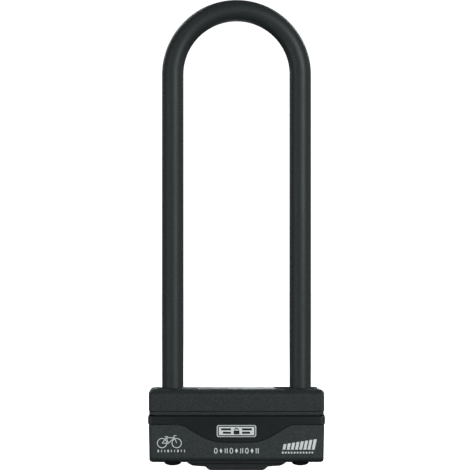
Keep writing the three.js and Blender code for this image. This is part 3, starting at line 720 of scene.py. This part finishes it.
def make_bicycle_sign():
    """A line-drawn bicycle with a row of ticks below it, on the left."""
    sign = Print("bicycle_sign", FACE_Y)
    tyre, tube = 0.6, 0.55
    wheel_r, rear, front = 3.7, (-59.0, 22.2), (-47.4, 22.2)
    for hub in (rear, front):
        sign.stroke(round_points(*hub, wheel_r), tyre, closed=True)
    crank, saddle, head = (-54.0, 22.0), (-55.6, 26.4), (-49.3, 26.6)
    seat = [(-57.0, 27.3), (-54.2, 27.3)]
    bars = [(-49.9, 28.1), (-47.7, 28.1)]
    stem = [(-49.6, 27.9), head]
    tubes = [[rear, saddle], [saddle, crank], [crank, rear], [saddle, head], [crank, head], [head, front]]
    for line in tubes + [seat, bars, stem]:
        sign.stroke(line, tube)
    first_x, pitch, low, high = -62.0, 2.6, 15.0, 16.9
    for i in range(9):
        x = first_x + i * pitch
        sign.stroke([(x, low), (x, high)], tube if i % 3 else 2 * tube)
    return sign.done()


def make_level_sign():
    """A rising row of slanted bars with small squares below, on the right."""
    sign = Print("level_sign", FACE_Y)
    first_x, low, slant, width, pitch = 36.4, 17.0, 0.22, 2.3, 3.3
    shortest, growth = 4.4, 0.55
    for i in range(8):
        x = first_x + i * pitch
        high = low + shortest + growth * i
        shift = slant * (high - low)
        sign.wall([(x, low), (x + width, low), (x + width + shift, high), (x + shift, high)])
    first_x, low, size, pitch = 36.0, 14.0, 1.3, 2.35
    for i in range(11):
        x = first_x + i * pitch
        sign.wall([(x, low), (x + size, low), (x + size, low + size), (x, low + size)])
    return sign.done()


def make_centre_signs():
    """A line of upright ovals, diamonds and bars in the middle."""
    sign = Print("centre_signs", FACE_Y)
    z, half_x, half_z, line, count, pitch = 16.1, 1.1, 2.0, 0.6, 9, 4.1
    for i in range(count):
        x = (i - (count - 1) / 2) * pitch
        if i % 3 == 0:
            angles = [2 * math.pi * k / 24 for k in range(24)]
            oval = [(x + half_x * math.cos(a), z + half_z * math.sin(a)) for a in angles]
            sign.stroke(oval, line, closed=True)
        elif i % 3 == 1:
            sign.wall([(x - half_x, z), (x, z - half_z), (x + half_x, z), (x, z + half_z)])
        else:
            for shift in (-0.8, 0.8):
                sign.stroke([(x + shift, z - half_z), (x + shift, z + half_z)], line)
    return sign.done()


# ---- the studio ----
def make_camera():
    """Level with the middle of the lock, square to its front, from two metres."""
    distance, frame_height, shift_x = 2.0, 0.376, -0.0012
    data = bpy.data.cameras.new("camera")
    data.sensor_width = 36
    data.lens = data.sensor_width * distance / frame_height
    camera = bpy.data.objects.new("camera", data)
    camera.location = (shift_x, -distance, SLEEVE_HIGH.z * MM - frame_height / 2)
    camera.rotation_euler = (math.pi / 2, 0, 0)
    bpy.context.scene.collection.objects.link(camera)
    bpy.context.scene.camera = camera


LIGHT_COLOUR = (0.93, 0.99, 1.0)
AIM = (0, 0, 0.19)  # the point that every light faces, in metres
# Each soft light's azimuth and elevation in degrees, distance and size in metres, and power in watts.
STUDIO_LIGHTS = {
    "key": (32, 12, 2.0, (0.5, 0.9), 26),
    "fill": (-48, 0, 0.9, (0.4, 0.5), 1.6),
    "left_rim": (-120, 5, 2.5, (0.6, 1.4), 3),
    "right_rim": (110, 5, 2.5, (0.6, 1.4), 3.5),
    "back_left": (-148, 28, 2.0, (0.6, 1.0), 11),
    "back_right": (148, 28, 2.0, (0.6, 1.0), 11),
}
# Three more are each kept to a few pieces.
CARDED_LIGHTS = {
    "horizon": ((168, 13, 3.0, (0.8, 0.7), 72), ("upper_casing", "left_leg_bush")),
    "right_top": ((112, 10, 2.0, (0.5, 0.5), 5), ("upper_casing",)),
    "bounce": ((180, -40, 2.0, (1.0, 0.6), 5), ("shackle_sleeve",)),
}


def softbox(name, azimuth, elevation, distance, size, power):
    """A soft light round the lock's middle. Azimuth runs from the front to the right, in degrees."""
    data = bpy.data.lights.new(name, "AREA")
    data.shape = "RECTANGLE"
    data.size, data.size_y = size
    data.energy = power
    data.color = LIGHT_COLOUR
    turn, rise = math.radians(azimuth), math.radians(elevation)
    target = Vector(AIM)
    out = Vector((math.sin(turn) * math.cos(rise), -math.cos(turn) * math.cos(rise), math.sin(rise)))
    light = bpy.data.objects.new(name, data)
    light.location = target + distance * out
    light.rotation_euler = out.to_track_quat("Z", "Y").to_euler()
    bpy.context.scene.collection.objects.link(light)
    return light


def make_shell():
    """A pale floor just under the lock, which rises into a dome. It gives the lock no light."""
    material, tree, shader = new_material("studio paper", **{"Specular IOR Level": 0.0, "Roughness": 1.0})
    tone = remap(tree, noise(tree, 4, detail=2), 0, 1)
    paper = mix_colour(tree, tone, (0.80, 0.80, 0.80), (0.82, 0.82, 0.82))
    tree.links.new(paper, shader.inputs["Base Color"])
    shader.inputs["Emission Color"].default_value = (1, 1, 1, 1)
    shader.inputs["Emission Strength"].default_value = 1.0
    reach, sunk = 6000.0, 0.25
    angles = [math.radians(a) for a in range(0, 90, 10)]
    rings = [circle(reach * math.cos(a), reach * math.sin(a) - sunk) for a in angles]
    shell = piece_from(loft(rings), "studio_shell")
    shell.data.transform(Matrix.Scale(MM, 4))
    shell.data.materials.append(material)
    shell.visible_diffuse = False
    shell.visible_glossy = False
    shell.visible_shadow = False


def make_world():
    """A dim surround, darker overhead, underneath and behind the lock."""
    world = bpy.data.worlds.new("studio")
    bpy.context.scene.world = world
    world.use_nodes = True
    tree = world.node_tree
    tree.nodes.clear()
    direction = add(tree, "ShaderNodeTexCoord").outputs["Generated"]
    parts = add(tree, "ShaderNodeSeparateXYZ", {"Vector": direction})
    # Each factor follows one part of the direction that is looked in, from -1 to 1.
    level = remap(tree, parts.outputs["Z"], 0.3, 0.15, 0.0, 0.6)
    behind = remap(tree, parts.outputs["Y"], 1.0, 0.15, -0.1, 0.5)
    under = remap(tree, parts.outputs["Z"], 0.1, 1.0, -0.5, -0.08)
    strength = add(tree, "ShaderNodeMath", {0: level, 1: behind}, operation="MULTIPLY").outputs[0]
    strength = add(tree, "ShaderNodeMath", {0: strength, 1: under}, operation="MULTIPLY").outputs[0]
    background = add(tree, "ShaderNodeBackground", {"Color": (0.9, 0.98, 1, 1), "Strength": strength})
    output = add(tree, "ShaderNodeOutputWorld")
    tree.links.new(background.outputs[0], output.inputs[0])


def make_studio():
    """The camera, its pale surround and the lights that reach every piece."""
    make_camera()
    make_shell()
    make_world()
    for name, facts in STUDIO_LIGHTS.items():
        softbox(name, *facts)
    bpy.context.scene.view_settings.view_transform = "Standard"


def light_only(pieces, light):
    """Keeps a light to some pieces, as a cut-out card in front of it would."""
    lit = bpy.data.collections.new("lit by " + light.name)
    for piece in pieces:
        lit.objects.link(piece)
    light.light_linking.receiver_collection = lit


# ---- assembly ----
def paint_shade_on_collar(mesh):
    """The collar that stands inside the band gets a near-black material: painted shade for the deep gap under
    the band.
    """
    mesh.materials.append(COLLAR_PAINTED_SHADE)
    margin, lowest = 0.1, APRON[3][1]
    for face in mesh.polygons:
        x, y, z = face.center / MM
        if abs(x) < SPIGOT[0] + margin and abs(y) < SPIGOT[1] + margin and z > lowest:
            face.material_index = 1


def dress_frame():
    """The CAD nodes that stay get the fine material of their slot."""
    slots = {entry["node"]: entry["material_slot"] for entry in frame["record"]["subparts"]}
    for name, node in frame["nodes"].items():
        node.data.materials.clear()
        node.data.materials.append(MATERIALS[slots[name]])
        for face in node.data.polygons:
            face.use_smooth = True
        node.data.set_sharp_from_angle(angle=SMOOTH_ANGLE)


def make_lock():
    """Every fine piece in its place, then the lights that are kept to a few of them."""
    dress_frame()
    pieces = {}
    for build, body, slot, node in (
        (make_sleeve, "shackle", "sleeve_vinyl", "shackle_sleeve"),
        (make_bar, "shackle", "bare_steel", "shackle_bar"),
        (make_upper_casing, "lock_body", "casing_plastic", "upper_casing"),
        (make_lower_casing, "lock_body", "casing_plastic", "lower_casing"),
        (make_band, "lock_body", "band_plastic", "trim_band"),
    ):
        # The lower casing takes the lighter, painted-light copy of the casing nylon.
        material = LOWER_CASING_PAINTED_LIGHTER if node == "lower_casing" else MATERIALS[slot]
        pieces[node] = place(build(), body, slot, material, (node,))
    # Painted shade on the collar in the gap under the band.
    paint_shade_on_collar(pieces["lower_casing"].data)
    trim = ("trim_plastic", MATERIALS["trim_plastic"])
    place(make_guard(), "lock_body", *trim, ("keyway_guard",))
    place(make_keyway_cover(), "keyway_slider", *trim, ("keyway_cover",))
    for side, word in ((-1, "left"), (1, "right")):
        node = f"{word}_leg_bush"
        pieces[node] = place(make_bush(side), "lock_body", *trim, (node,))
        place(make_plug(side), "lock_body", *trim, (f"{word}_socket_plug",))
    for build in (make_badge, make_bicycle_sign, make_level_sign, make_centre_signs):
        place(build(), "lock_body", "casing_plastic", PRINT_INK)
    place(make_badge_signs(), "lock_body", "band_plastic", BADGE_INK)
    for name, (facts, nodes) in CARDED_LIGHTS.items():
        light_only([pieces[node] for node in nodes], softbox(name, *facts))


make_studio()
make_lock()
